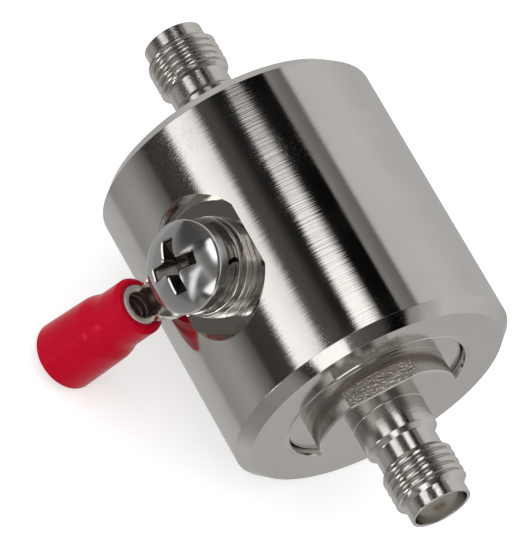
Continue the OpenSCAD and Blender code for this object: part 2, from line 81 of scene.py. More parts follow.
def corner_line(corners, arc_steps=4, run_steps=1, closed=True):
    """A line of points and normals through rounded corners, given as (x, r, rounding).
    As complex numbers, a run's direction is d and its normal is i d. At a corner the
    direction turns from d to d exp(i turn), round a centre that lies at the rounding
    from both runs, and a sharp corner gives points that differ only in their normals.
    An open line leaves out the run from the last corner back to the first."""
    x, r, rounding = np.array(corners, float).T
    here = x + 1j * r
    run = np.roll(here, -1) - here
    came = np.roll(run / abs(run), 1)
    turn = np.angle(run / abs(run) / came)
    outer = np.where(turn < 0, 1.0, -1.0) * rounding
    centre = here - came * rounding * np.tan(abs(turn) / 2) - outer * 1j * came
    normal = 1j * came[:, None] * np.exp(1j * turn[:, None] * np.linspace(0, 1, arc_steps + 1))
    point = centre[:, None] + outer[:, None] * normal
    share = np.arange(1, run_steps) / run_steps
    along = point[:, -1:] + (np.roll(point[:, 0], -1)[:, None] - point[:, -1:]) * share
    still = np.repeat(normal[:, -1:], run_steps - 1, axis=1)
    points = np.concatenate([point, along], axis=1).ravel()
    normals = np.concatenate([normal, still], axis=1).ravel()
    if closed:
        return np.append(points, points[0]), np.append(normals, normals[0])
    opened = slice(arc_steps, 1 - arc_steps - run_steps)
    return points[opened], normals[opened]


def turned(line, angles):
    """Surface of revolution about X: the point (x, r) of a line, carried round to the
    angle a, is (x, r cos a, r sin a), and its normal turns with it."""
    return tuple(np.stack([v.real[:, None] + 0 * angles, v.imag[:, None] * np.cos(angles),
                           v.imag[:, None] * np.sin(angles)], -1) for v in line)


def between(first, last, normal, steps=1):
    """Ruled surface from one edge to another: first + (last - first) share, with the
    share going from 0 to 1 in equal steps."""
    share = np.linspace(0, 1, steps + 1)[:, None, None]
    points = first + (last - first) * share
    return points, np.broadcast_to(normal, points.shape)


def skin(name, patches, finishes, body, node, axes=DRAWN_AXES):
    """One closed mesh from patches, each a grid of points in millimetres, a grid of
    normals and, if it isn't the first, the number of its finish. A point p of the
    drawing lies at p axes. Points that patches share are joined, and each face keeps
    the normals of its own patch."""
    weld = 0.0002
    faces, kinds, count = [], [], 0
    for points, normals, *kind in patches:
        rows, columns = points.shape[:2]
        place = np.arange(rows * columns).reshape(rows, columns)
        a, b, c, d = place[:-1, :-1], place[1:, :-1], place[1:, 1:], place[:-1, 1:]
        made = np.concatenate([np.stack([a, b, c], -1).reshape(-1, 3),
                               np.stack([a, c, d], -1).reshape(-1, 3)])
        corner = points.reshape(-1, 3)[made]
        facing = np.cross(corner[:, 1] - corner[:, 0], corner[:, 2] - corner[:, 0])
        if (facing * normals.reshape(-1, 3)[made].sum(1)).sum() < 0:
            made = made[:, ::-1]
        faces.append(made + count)
        kinds.append(np.full(len(made), kind[0] if kind else 0))
        count += rows * columns
    faces = np.concatenate(faces)
    points, normals = (np.concatenate([patch[i].reshape(-1, 3) for patch in patches]) for i in (0, 1))
    _, kept, joined = np.unique(np.round(points / weld), axis=0, return_index=True, return_inverse=True)
    welded = joined.ravel()[faces]
    whole = (welded != np.roll(welded, 1, axis=1)).all(1)
    corner_normals = normals[faces[whole]].reshape(-1, 3) @ axes
    corner_normals /= np.linalg.norm(corner_normals, axis=1)[:, None]
    mesh = bpy.data.meshes.new(name)
    mesh.from_pydata(points[kept] @ axes * MM, [], welded[whole])
    mesh.shade_smooth()
    mesh.normals_split_custom_set(corner_normals)
    for finish in finishes:
        mesh.materials.append(finish)
    mesh.polygons.foreach_set("material_index", np.concatenate(kinds)[whole])
    piece = bpy.data.objects.new(name, mesh)
    bpy.context.collection.objects.link(piece)
    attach(piece, body)
    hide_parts(node)


def fed(tree, node, inputs):
    """Gives each input of a node its value, or the socket that feeds it."""
    for socket, value in dict(inputs).items():
        if isinstance(value, bpy.types.NodeSocket):
            tree.links.new(value, node.inputs[socket])
        else:
            node.inputs[socket].default_value = value
    return node


def wired(tree, kind, inputs=(), **settings):
    """A new node with its settings and its inputs."""
    node = tree.nodes.new(kind)
    for key, value in settings.items():
        setattr(node, key, value)
    return fed(tree, node, inputs)


def reckoned(tree, operation, *values):
    """A sum of numbers or sockets, by the name of its operation."""
    return wired(tree, "ShaderNodeMath", enumerate(values), operation=operation).outputs[0]


def ranged(tree, value, low, high, first=0.0, last=1.0):
    """Goes straight from the first to the last while a value goes from low to high."""
    return wired(tree, "ShaderNodeMapRange", enumerate([value, low, high, first, last])).outputs[0]


def scaled(tree, vector, factor):
    """A vector or a colour times a factor."""
    return wired(tree, "ShaderNodeVectorMath", {0: vector, "Scale": factor}, operation="SCALE").outputs[0]


def noise(tree, place, per_metre, detail):
    """Soft random patches, so many to the metre, with values round a half."""
    inputs = {"Vector": place, "Scale": per_metre, "Detail": detail}
    return wired(tree, "ShaderNodeTexNoise", inputs).outputs["Fac"]


def effect(name, inputs, outputs):
    """An empty node group with named inputs and outputs, given as socket kinds by name.
    With it come its input sockets, its output node and the place on the object."""
    tree = bpy.data.node_groups.new(name, "ShaderNodeTree")
    for direction, sockets in (("INPUT", inputs), ("OUTPUT", outputs)):
        for socket, kind in sockets.items():
            tree.interface.new_socket(socket, in_out=direction, socket_type="NodeSocket" + kind)
    return (tree, tree.nodes.new("NodeGroupInput").outputs, tree.nodes.new("NodeGroupOutput"),
            wired(tree, "ShaderNodeTexCoord").outputs["Object"])


# Turning marks: rings round a line, from noise that is fast along it and along the
# faces, where the tool crossed from the middle to the rim, and slow otherwise.
face_feed = 1.3
slow_per_metre = 260.0
turning_marks, given, wanted, spot = effect(
    "turning_marks", {"Line": "Vector", "Spacing": "Float"}, {"Height": "Float"})
along = wired(turning_marks, "ShaderNodeVectorMath", {0: spot, 1: given["Line"]},
              operation="DOT_PRODUCT").outputs["Value"]
off_line = wired(turning_marks, "ShaderNodeVectorMath", {0: spot, 1: given["Line"]},
                 operation="CROSS_PRODUCT").outputs[0]
off_line = wired(turning_marks, "ShaderNodeVectorMath", {0: off_line}, operation="LENGTH").outputs["Value"]
feed = reckoned(turning_marks, "MULTIPLY_ADD", off_line, face_feed, along)
feed = reckoned(turning_marks, "DIVIDE", feed, given["Spacing"])
slow = scaled(turning_marks, spot, slow_per_metre)
rings = wired(turning_marks, "ShaderNodeTexNoise", {"Vector": slow, "W": feed, "Scale": 1.0, "Detail": 2.0},
              noise_dimensions="4D")
fed(turning_marks, wanted, {"Height": rings.outputs["Fac"]})

# Plating: cloudy patches that are a little duller and darker, fine grain, and
# drifts of rough specks.
plating, given, wanted, spot = effect(
    "plating", {"Color": "Color", "Roughness": "Float", "Dulling": "Float", "Specks": "Float"},
    {"Color": "Color", "Roughness": "Float"})
clouds = ranged(plating, noise(plating, spot, per_metre=220.0, detail=4.0), 0.4, 0.7)
grain = noise(plating, spot, per_metre=9000.0, detail=1.0)
grain_share = 0.3
dull = reckoned(plating, "MULTIPLY_ADD", grain, grain_share, clouds)
shade = ranged(plating, dull, 0.0, 1.0 + grain_share, 1.0, 0.93)
specks = ranged(plating, noise(plating, spot, per_metre=6500.0, detail=1.0), 0.5, 0.7)
drifts = ranged(plating, noise(plating, spot, per_metre=150.0, detail=2.0), 0.47, 0.62)
specks = reckoned(plating, "MULTIPLY", specks, drifts)
rough = reckoned(plating, "MULTIPLY_ADD", dull, given["Dulling"], given["Roughness"])
rough = reckoned(plating, "MULTIPLY_ADD", specks, given["Specks"], rough)
fed(plating, wanted, {"Color": scaled(plating, given["Color"], shade), "Roughness": rough})

# Pitting: small bumps in the plate, that come in drifts. Sparse leaves out the lower
# part of the noise, so that there are fewer of them.
pitting, given, wanted, spot = effect(
    "pitting", {"Per Metre": "Float", "Sparse": "Float"}, {"Height": "Float"})
bumps = noise(pitting, spot, per_metre=given["Per Metre"], detail=1.0)
bumps = ranged(pitting, bumps, given["Sparse"], 0.8)
drifts = ranged(pitting, noise(pitting, spot, per_metre=130.0, detail=1.0), 0.42, 0.62, 0.15, 1.0)
fed(pitting, wanted, {"Height": reckoned(pitting, "MULTIPLY", bumps, drifts)})


def plated(name, color, roughness, dulling, spacing, depth, line=housing_line, grazing=0.72, specks=0.0):
    """A plated metal: the plating effect on colour and roughness, and turning marks
    round a line as a bump. Grazing dims its edges."""
    metal = bpy.data.materials.new(name)
    metal.use_nodes = True
    tree = metal.node_tree
    coat = wired(tree, "ShaderNodeGroup", {"Color": (*color, 1), "Roughness": roughness, "Dulling": dulling,
                                           "Specks": specks}, node_tree=plating)
    marks = wired(tree, "ShaderNodeGroup", {"Line": line, "Spacing": spacing * MM}, node_tree=turning_marks)
    bump = wired(tree, "ShaderNodeBump", {"Height": marks.outputs["Height"], "Distance": depth * MM})
    fed(tree, tree.nodes["Principled BSDF"], {
        "Base Color": coat.outputs["Color"], "Roughness": coat.outputs["Roughness"],
        "Normal": bump.outputs["Normal"], "Metallic": 1, "Specular Tint": (grazing, grazing, grazing, 1)})
    return metal


def pitted(metal, per_metre, depth, sparse=0.58):
    """Adds pitting on top of a metal's turning marks."""
    tree = metal.node_tree
    pits = wired(tree, "ShaderNodeGroup", {"Per Metre": per_metre, "Sparse": sparse}, node_tree=pitting)
    marks = next(n for n in tree.nodes if n.type == "BUMP")
    bump = wired(tree, "ShaderNodeBump", {
        "Height": pits.outputs["Height"], "Distance": depth * MM, "Normal": marks.outputs["Normal"]})
    fed(tree, tree.nodes["Principled BSDF"], {"Normal": bump.outputs["Normal"]})


nickel = plated("nickel_plate", (0.62, 0.595, 0.567), roughness=0.06, dulling=0.03, spacing=0.14,
                depth=0.0032, specks=0.08)
pitted(nickel, per_metre=7500.0, depth=0.0016)

# Half of the outline, from the outer edge round the lip and the socket to the
# cavity, and its mirror image. The outer cylinder is left out of it.
socket_floor_x = face_x - socket_depth
lip_r = socket_r + lip_w
half_line = [
    (face_x - edge_chamfer, body_r, edge_round), (face_x, body_r - edge_chamfer, edge_round),
    (face_x, lip_r, lip_foot_round), (face_x + lip_h, lip_r - lip_h, lip_round),
    (face_x + lip_h, socket_r + lip_h, lip_round), (face_x - socket_break, socket_r, socket_round),
    (socket_floor_x, socket_r, 0), (socket_floor_x, cavity_r, 0)]
mirrored = [(-x, r, rounding) for x, r, rounding in half_line[::-1]]
inside = tuple(v[:-1] for v in corner_line(half_line + mirrored))
edge_x = inside[0][0].real

# Angles round the housing, measured from Y, a degree apart. The crown with the
# seat is a patch of its own, that reaches crown_half degrees to each side.
degree = math.radians(1)
crown_half = 60
crown_start = math.radians(90 - crown_half)
round_all = np.linspace(crown_start, crown_start + 2 * math.pi, 361)
round_back = round_all[2 * crown_half:]

# A quarter of the seat's edge on the crown: the flared wall up to the corner
# where it runs out, then the straight edge of the floor. A quarter of the crown's
# border has as many steps: its end, then half its length.
wall_steps, length_steps, row_steps = 50, 24, 24
chord_steps = crown_half + length_steps - wall_steps
seat_edge = math.sqrt(body_r ** 2 - seat_h ** 2)
across = np.linspace(0, seat_edge, wall_steps + 1)
height = np.sqrt(body_r ** 2 - across ** 2)
reach = seat_floor_r + (height - seat_h) * math.tan(seat_flare)
corner_x = math.sqrt(seat_floor_r ** 2 - seat_edge ** 2)
rim_x = np.append(np.sqrt(reach ** 2 - across ** 2), np.linspace(corner_x, 0, chord_steps + 1)[1:])
rim_y = np.append(across, np.full(chord_steps, seat_edge))
border_x = np.append(np.full(crown_half, edge_x), np.linspace(edge_x, 0, length_steps + 1))
border_y = np.append(np.arange(crown_half + 1.0), np.full(length_steps, float(crown_half)))


def quarters(x, y):
    """A closed loop from its first quarter, mirrored in x, then in both, then in y."""
    loop_x = np.concatenate([x, -x[-2::-1], -x[1:], x[-2::-1]])
    loop_y = np.concatenate([y, y[-2::-1], -y[1:], -y[-2::-1]])
    return loop_x, loop_y


# The crown is drawn with straight lines of its unrolled surface, from the border
# to the seat's edge. The seat and the tapped hole go on inwards from that edge.
rim_x, rim_y = quarters(rim_x, rim_y)
border_x, border_y = quarters(border_x, border_y)
rim_turn = np.arcsin(rim_y / body_r)
share = np.linspace(0, 1, row_steps + 1)[:, None]
crown_x = border_x + (rim_x - border_x) * share
crown_a = math.pi / 2 - (border_y * degree + (rim_turn - border_y * degree) * share)
crown_n = np.stack([0 * crown_x, np.cos(crown_a), np.sin(crown_a)], -1)
crown = np.stack([crown_x, body_r * np.cos(crown_a), body_r * np.sin(crown_a)], -1), crown_n
outer_x = np.linspace(-edge_x, edge_x, 2 * length_steps + 1)
outer_line = outer_x + 1j * body_r, 1j + 0 * outer_x
plan = np.hypot(rim_x, rim_y)
ray = np.stack([rim_x / plan, rim_y / plan, 0 * plan], -1)
seat_foot = ray * np.minimum(seat_floor_r, plan)[:, None] + [0, 0, seat_h]
wall_normal = -ray * math.cos(seat_flare) + [0, 0, math.sin(seat_flare)]
tap_mouth = ray * (tap_r + tap_lead) + [0, 0, seat_h]
tap_top = ray * tap_r + [0, 0, seat_h - tap_lead]
tap_foot = ray * tap_r + [0, 0, seat_h - tap_depth]
tap_end = ray * 0 + [0, 0, seat_h - tap_depth]
ahead, up = np.array([1.0, 0, 0]), np.array([0, 0, 1.0])
skin("housing_shell", [
    turned(inside, round_all), turned(outer_line, round_back), crown,
    between(crown[0][-1], seat_foot, wall_normal, 6), between(seat_foot, tap_mouth, up, 8),
    between(tap_mouth, tap_top, -ray + up), between(tap_top, tap_foot, -ray, 2),
    between(tap_foot, tap_end, up),
], [nickel], "housing", "housing")

# Connector plugs: each is one turned brass piece, nickel plated, that screws
# into an end of the housing and carries a threaded radio jack. Two flats are
# milled on its boss for a spanner, and left with the cutter's rough finish.
plug_back_x = 7.23
spigot_end_x = 6.03
spigot_r = 6.177
bead_seat_x = 8.53
bead_pocket_r = 4.0
groove_end_x = 8.06
groove_low_r = 6.674
groove_high_r = 7.534
flange_r = 7.97
flange_x = 12.5
flange_round = 0.2
boss_r = 6.225
boss_x = 14.9
boss_break = 0.15
boss_foot_round = 0.04
face_inner_r = 5.0
flat_h = 5.425
flats_x = 13.4
flat_break = 0.1
near_flats_turn = math.radians(40)
far_flats_turn = math.radians(65)
jack_r = 3.15
jack_root_r = 2.86
jack_pitch = 0.7056
jack_foot_round = 0.08
slope_x = 17.35
jack_shoulder_round = 0.1
neck_r = 2.7
neck_x = 17.75
thread_x = 19.3
nose_x = 22.85
nose_r = 2.65
mouth_x = 24.0
mouth_r = 2.35
mouth_round = 0.06
line_end_x = 22.1
line_bore_r = 2.05
flat_steps, round_steps = 60, 120


def ridge(start, end, crest_r, root_r, pitch, angles, start_r, end_r, step=0.04):
    """Helical thread: at x and the angle a, the radius goes from the root to the crest
    with the cosine c of x / pitch - a / turn, as 1 - ((1 - c) / 2) cubed, so that crests
    are broad. Both ends are cut to cones."""
    x = np.linspace(start, end, int((end - start) / step) + 1)[:, None]
    tooth = 1 - (0.5 - 0.5 * np.cos(2 * math.pi * x / pitch - angles)) ** 3
    r = root_r + (crest_r - root_r) * tooth
    r = np.minimum(r, np.minimum(start_r + (x - start), end_r + (end - x)))
    slope_along = np.gradient(r, x[:, 0], axis=0)
    slope_round = np.gradient(r, angles, axis=1) / r
    c, s = np.cos(angles), np.sin(angles)
    normals = np.stack([-slope_along, c + slope_round * s, s - slope_round * c], -1)
    return np.stack([x + 0 * r, r * c, r * s], -1), normals


plug_front = corner_line([
    (boss_x, face_inner_r, 0), (boss_x, jack_r, jack_foot_round), (slope_x, jack_r, jack_shoulder_round),
    (neck_x, neck_r, jack_shoulder_round), (thread_x, neck_r, 0)], closed=False)
plug_inside = corner_line([
    (nose_x, nose_r, 0), (mouth_x, nose_r, mouth_round), (mouth_x, mouth_r, mouth_round),
    (line_end_x, mouth_r, 0), (line_end_x, line_bore_r, 0), (bead_seat_x, line_bore_r, 0),
    (bead_seat_x, bead_pocket_r, 0), (spigot_end_x, bead_pocket_r, 0), (spigot_end_x, spigot_r, 0),
    (plug_back_x, spigot_r, 0), (plug_back_x, groove_low_r, 0), (groove_end_x, groove_low_r, 0),
    (groove_end_x, groove_high_r, 0), (plug_back_x, groove_high_r, 0), (plug_back_x, flange_r, 0),
    (flange_x, flange_r, flange_round), (flange_x, boss_r, boss_foot_round),
    (flats_x, boss_r, 0)], closed=False)

# The jacks' plate is duller than the housing's. The milled flats are plated over
# rough metal, so they glitter, and their front edge is painted bright as a highlight.
jack_nickel = plated("jack_nickel", (0.64, 0.61, 0.578), roughness=0.13, dulling=0.08, spacing=0.18,
                     depth=0.0025)
milled = plated("milled_nickel", (0.55, 0.51, 0.47), roughness=0.2, dulling=0.1, spacing=0.18, depth=0.002)
edge_highlight = plated("edge_painted_highlight", (0.9, 0.87, 0.83), roughness=0.45, dulling=0.1, spacing=0.18, depth=0.004,
              grazing=0.9)
pitted(jack_nickel, per_metre=6000.0, depth=0.0045, sparse=0.5)
pitted(milled, per_metre=5200.0, depth=0.05, sparse=0.36)


def plug_patches(flats_turn):
    """The plug in four quarters. On a flat that faces the angle c, the boss reaches out
    to h / cos(a - c) at the angle a, and on the other two quarters to its turned radius.
    Its front edge is broken by boss_break, and by flat_break where a flat cuts it."""
    half = math.acos(flat_h / boss_r)
    patches = []
    for quarter in range(4):
        flat = quarter % 2 == 0
        facing = math.pi / 2 - flats_turn + quarter * math.pi / 2
        width = half if flat else math.pi / 2 - half
        angles = facing + np.linspace(-width, width, (flat_steps if flat else round_steps) + 1)
        spoke = np.stack([0 * angles, np.cos(angles), np.sin(angles)], -1)
        reach = (flat_h / np.cos(angles - facing) if flat else boss_r + 0 * angles)[:, None]
        brink = np.minimum(reach - flat_break, boss_r - boss_break)
        drop = np.maximum(reach - boss_r + boss_break, flat_break)
        side = np.array([0, math.cos(facing), math.sin(facing)]) if flat else spoke
        ledge_edge, ledge_foot = [flats_x * ahead + spoke * r for r in (boss_r, reach)]
        low_edge = (boss_x - drop) * ahead + spoke * reach
        face_edge, face_foot = [boss_x * ahead + spoke * r for r in (brink, face_inner_r)]
        # On a flat the side is milled, and the front edge has the painted highlight.
        side_finish, edge_finish = (1, 2) if flat else (0, 0)
        patches += [
            turned(plug_front, angles), turned(plug_inside, angles),
            ridge(thread_x, nose_x, jack_r, jack_root_r, jack_pitch, angles, neck_r, nose_r),
            between(ledge_edge, ledge_foot, ahead), (*between(ledge_foot, low_edge, side, 4), side_finish),
            (*between(low_edge, face_edge, side + ahead), edge_finish), between(face_edge, face_foot, ahead)]
    return patches


def far_end(patches):
    """The same shape at the far end: half a turn round the earth screw."""
    half_turn = np.array([-1.0, -1.0, 1.0])
    return [(points * half_turn, normals * half_turn, *kind) for points, normals, *kind in patches]


for name, patches, node in (("near_jack", plug_patches(near_flats_turn), "near_plug"),
                            ("far_jack", far_end(plug_patches(far_flats_turn)), "far_plug")):
    skin(name, patches, [jack_nickel, milled, edge_highlight], "housing", node)

# Earth screw: a cold-headed steel machine screw, zinc plated. Its pan head has
# a rounded shoulder and a cross recess struck by a tapered punch.
head_h = 14.15
head_r = 3.85
head_rim = 1.25
head_dome = 1.65
head_shoulder = 0.5
head_bevel = 0.2
bevel_round = 0.05
shank_r = 2.0
shank_root_r = 1.62
shank_len = 6.0
shank_pitch = 0.7
shank_tip_r = 1.6
cross_reach = 2.3
cross_half = 0.5
cross_depth = 2.0
cross_tip_depth = 0.6
cross_tip_round = 0.14
cross_throat_round = 0.35
cross_draft = 0.1
cross_lip = 0.12
cross_lip_depth = 0.1
cross_turn = math.radians(16)
head_steps = 8

# Zinc is bright on the head. In the cross recess it is rough, and its colour is darkened there as painted
# shade, with some dirt.
zinc = plated("zinc_plate", (0.62, 0.615, 0.61), roughness=0.11, dulling=0.06, spacing=0.3, depth=0.002,
              line=screw_line)
recess_zinc_shaded = plated("recess_zinc_painted_shade", (0.21, 0.19, 0.172), roughness=0.24, dulling=0.12, spacing=0.3, depth=0.006,
                line=screw_line)

# Drawn with the screw line as X, so that angles round it start at the housing's
# line. The dome is a part of a ball, and the shoulder rounds it into the side.
SCREW_AXES = DRAWN_AXES[[2, 0, 1]]
dome_r = (head_r ** 2 + head_dome ** 2) / (2 * head_dome)
dome_centre = head_h + head_rim + head_dome - dome_r
shoulder_turn = math.acos((head_r - head_shoulder) / (dome_r - head_shoulder))
shoulder_h = dome_centre + (dome_r - head_shoulder) * math.sin(shoulder_turn)
shoulder = np.exp(1j * np.linspace(math.pi / 2 - shoulder_turn, math.pi / 2, head_steps + 1))


def cross_line(reach, half):
    """Outline of a cross with rounded tips and throats, as a loop in the plane."""
    corners = [(reach, half), (reach, -half), (half, -half), (half, -reach), (-half, -reach), (-half, -half),
               (-reach, -half), (-reach, half), (-half, half), (-half, reach), (half, reach), (half, half)]
    return corner_line([(u, v, cross_tip_round if reach in (abs(u), abs(v)) else cross_throat_round)
                        for u, v in corners], 6, 8)


def dome_point(plan):
    """The point and normal of the head's dome above a point of the plan."""
    rise = np.sqrt(dome_r ** 2 - abs(plan) ** 2)
    return (np.stack([dome_centre + rise, plan.real, plan.imag], -1),
            np.stack([rise, plan.real, plan.imag], -1) / dome_r)


# The recess goes down from its mouth over a pressed lip to the throat, along
# drafted walls to the foot, and over the arms' rising floors to the middle.
cross_way = np.exp(-1j * cross_turn)
mouth, mouth_n = cross_line(cross_reach, cross_half + cross_lip)
throat, throat_n = cross_line(cross_reach - cross_lip, cross_half)
foot, _ = cross_line(cross_reach - cross_lip - cross_draft, cross_half - cross_draft)
spread = np.maximum(abs(foot.real), abs(foot.imag))
kink = foot * (cross_half - cross_draft) / spread
slope = (cross_depth - cross_tip_depth) / (cross_reach - cross_half)
arm = np.where(abs(foot.real) > abs(foot.imag), np.sign(foot.real), 1j * np.sign(foot.imag))


def in_plan(height, plan):
    """Points at a height over the plan, turned with the cross."""
    plan = plan * cross_way
    return np.stack([height + 0 * plan.real, plan.real, plan.imag], -1)


head_top = head_h + head_rim + head_dome
floor_h = head_top - cross_depth
foot_h = floor_h + (spread - (cross_half - cross_draft)) * slope
wall_lean = 0.1
rim_a = np.unwrap(np.angle(mouth * cross_way))
rim_plan = dome_r * math.cos(shoulder_turn) * np.exp(1j * rim_a)
share = np.linspace(0, 1, head_steps + 1)[:, None]
plan = mouth * cross_way + (rim_plan - mouth * cross_way) * share
dome = dome_point(plan)
throat_edge = dome_point(throat * cross_way)[0] - cross_lip_depth * ahead
foot_edge, kink_edge, middle = in_plan(foot_h, foot), in_plan(floor_h, kink), in_plan(floor_h, 0 * kink)
shoulder_line = shoulder_h + 1j * (head_r - head_shoulder) + head_shoulder * shoulder, shoulder
under_line = corner_line([
    (head_h, shank_tip_r, 0), (head_h, head_r - head_bevel, bevel_round),
    (head_h + head_bevel, head_r, bevel_round), (shoulder_h, head_r, 0)], closed=False)
tip_line = np.array([1j * 0, 1j * shank_tip_r]) + head_h - shank_len, np.array([-1.0 + 0j, -1.0 + 0j])
skin("earth_screw_shape", [
    dome, turned(shoulder_line, rim_a), turned(under_line, rim_a),
    ridge(head_h - shank_len, head_h, shank_r, shank_root_r, shank_pitch, rim_a, shank_tip_r, shank_tip_r),
    turned(tip_line, rim_a), between(dome[0][0], throat_edge, in_plan(1, -mouth_n)),
    # The recess's walls and floors take the zinc that is darkened with painted shade and dirt.
    (*between(throat_edge, foot_edge, in_plan(wall_lean, -throat_n), 4), 1),
    (*between(foot_edge, kink_edge, in_plan(1, -slope * arm), 2), 1),
    (*between(kink_edge, middle, ahead), 1),
], [zinc, recess_zinc_shaded], "screw", "earth_screw", SCREW_AXES)

# Washers: a split ring of square spring steel over a flat punched ring, both
# zinc plated. The slanted split keeps the screw from working loose.
lock_h = 13.05
lock_t = 1.1
lock_r = 3.5
lock_round = 0.12
lock_gap = 0.35
lock_slant = math.radians(25)
lock_turn = math.radians(60)
flat_washer_h = 12.25
flat_washer_t = 0.8
flat_washer_r = 4.0
flat_washer_round = 0.1
flat_washer_roll = 0.18
washer_hole_r = 2.15
washer_steps = 180

# The washers' plate is darker than the screw's, and pitted.
washer_zinc = plated("washer_zinc", (0.52, 0.484, 0.453), roughness=0.11, dulling=0.08, spacing=0.3,
                     depth=0.009, line=screw_line)
pitted(washer_zinc, per_metre=5000.0, depth=0.008)

# The ring of the lock washer goes from one slanted end to the other. The sine of
# an end's angle is (lean + half_gap) / r at the start and (lean - half_gap) / r at
# the end, and the lean goes with the height over the ring's middle.
lock_line, lock_n = corner_line([
    (lock_h, lock_r, lock_round), (lock_h + lock_t, lock_r, lock_round),
    (lock_h + lock_t, washer_hole_r, lock_round), (lock_h, washer_hole_r, lock_round)], 4, 4)
lean = -(lock_line.real - lock_h - lock_t / 2) * math.tan(lock_slant)
half_gap = lock_gap / 2 / math.cos(lock_slant)
starts = np.arcsin((lean + half_gap) / lock_line.imag)[:, None]
ends = np.arcsin((lean - half_gap) / lock_line.imag)[:, None] + 2 * math.pi
lock_a = lock_turn + starts + (ends - starts) * np.linspace(0, 1, washer_steps + 1)
ring, ring_n = turned((lock_line, lock_n), lock_a)
end_way = np.array([math.sin(lock_slant), -math.sin(lock_turn) * math.cos(lock_slant),
                    math.cos(lock_turn) * math.cos(lock_slant)])
lock_ends = [between(edge, edge.mean(0) + 0 * edge, way)
             for edge, way in ((ring[:, 0], -end_way), (ring[:, -1], end_way))]
skin("lock_washer_shape", [(ring, ring_n), *lock_ends], [washer_zinc], "washers",
     "lock_washer", SCREW_AXES)
flat_line = corner_line([
    (flat_washer_h, flat_washer_r, flat_washer_round),
    (flat_washer_h + flat_washer_t, flat_washer_r, flat_washer_roll),
    (flat_washer_h + flat_washer_t, washer_hole_r, flat_washer_round),
    (flat_washer_h, washer_hole_r, flat_washer_round)], 5)
skin("flat_washer_shape", [turned(flat_line, np.linspace(0, 2 * math.pi, washer_steps + 1))],
     [washer_zinc], "washers", "flat_washer", SCREW_AXES)

# Ring terminal: stamped from one tinned copper sheet. Its tongue is flat under
# the screw, and its tail is curled up and rolled into a brazed barrel.
sheet_t = 0.6
sheet_edge = 0.08
tongue_r = 4.1
tongue_half = 2.3
tongue_fillet = 1.5
tip_cut = 0.15
swing = math.radians(12)
dip_x = 5.12
scoop_wrap = 1.35
scoop_inset = 0.03
scoop_overlap = 0.1
barrel_h = 13.7986
barrel_bend = math.radians(6.8)
barrel_x = 7.1
barrel_end_x = 11.9
barrel_r = 1.76
barrel_bore_r = 1.16
barrel_bevel = 0.2
barrel_fold = 0.2
barrel_round = 0.06
barrel_bore_round = 0.1
groove_r = 1.26
groove_pitch = 0.7
groove_w = 0.2
groove_round = 0.03
scoop_steps, fillet_steps, tip_steps = 40, 12, 120
hair = 1e-6

# The sheet is tinned. The front rim of the barrel is cut, and painted bright as a
# highlight, and its bore is dull and painted darker and browner as shade.
tin = plated("tin_plate", (0.8, 0.77, 0.71), roughness=0.14, dulling=0.14, spacing=0.4, depth=0.004,
             line=screw_line, grazing=0.9)
rim_tin_painted_highlight = plated("rim_tin_painted_highlight", (0.93, 0.89, 0.82), roughness=0.4, dulling=0.2, spacing=0.4, depth=0.012,
                 line=screw_line, grazing=0.9)
bore_tin_painted_shade = plated("bore_tin_painted_shade", (0.42, 0.35, 0.335), roughness=0.34, dulling=0.1, spacing=0.4, depth=0.004,
                   line=screw_line, grazing=0.9)

# Drawn along X with the screw line as Z, then swung to where the lug points.
swung = -math.pi / 2 - swing
LUG_AXES = np.array([[math.cos(swung), math.sin(swung), 0], [-math.sin(swung), math.cos(swung), 0],
                     [0, 0, 1]]) @ DRAWN_AXES
scoop_x = math.sqrt((tongue_r + tongue_fillet) ** 2 - (tongue_half + tongue_fillet) ** 2)
scoop_end_x = barrel_x * math.cos(barrel_bend) + scoop_overlap
scoop_r = barrel_r - scoop_inset


def along_barrel(patches):
    """Pieces turned round X, moved to the barrel's line, which dips from over the screw."""
    c, s = math.cos(barrel_bend), math.sin(barrel_bend)
    lean = np.array([[c, 0, -s], [0, 1, 0], [s, 0, c]])
    return [(points @ lean + [0, 0, barrel_h], normals @ lean) for points, normals in patches]


def eased(t):
    """A smooth step from 0 to 1: three t squared less two t cubed."""
    t = np.clip(t, 0, 1)
    return t * t * (3 - 2 * t)


def curl(x, across, depth):
    """The sheet at x, with a place across it and a depth in it. Each half's width goes
    from the neck's to scoop_wrap times the barrel's radius, and its curvature from
    nothing to the barrel's. With them comes the turn of the sheet at each place."""
    curled = eased((x - scoop_x) / (scoop_end_x - scoop_x))
    bend = np.maximum(curled, hair) / scoop_r
    half = tongue_half + (scoop_wrap * scoop_r - tongue_half) * curled
    turn = across / tongue_half * half * bend
    low = barrel_h - x * math.tan(barrel_bend) - scoop_r / math.cos(barrel_bend)
    low = seat_h + (low - seat_h) * eased((x - dip_x) / (scoop_end_x - dip_x))
    points = np.stack([x + 0 * turn, np.sin(turn) / bend - depth * np.sin(turn),
                       low + (1 - np.cos(turn)) / bend + depth * np.cos(turn)], -1)
    return points, turn


sheet_line, sheet_n = corner_line([(-tongue_half, 0, sheet_edge), (-tongue_half, sheet_t, sheet_edge),
                                   (tongue_half, sheet_t, sheet_edge), (tongue_half, 0, sheet_edge)], 4, 24)
scoop_rows = np.linspace(scoop_x, scoop_end_x, scoop_steps + 1)[:, None]
scoop, turns = curl(scoop_rows, sheet_line.real, sheet_line.imag)
scoop_n = np.stack([0 * turns, sheet_n.real * np.cos(turns) - sheet_n.imag * np.sin(turns),
                    sheet_n.real * np.sin(turns) + sheet_n.imag * np.cos(turns)], -1)
scoop_n[..., 0] = -(scoop_n * np.gradient(scoop, scoop_rows[:, 0], axis=0)).sum(-1)
middle, _ = curl(scoop_rows[-1], np.clip(sheet_line.real, sheet_edge - tongue_half, tongue_half - sheet_edge),
                 sheet_t / 2)

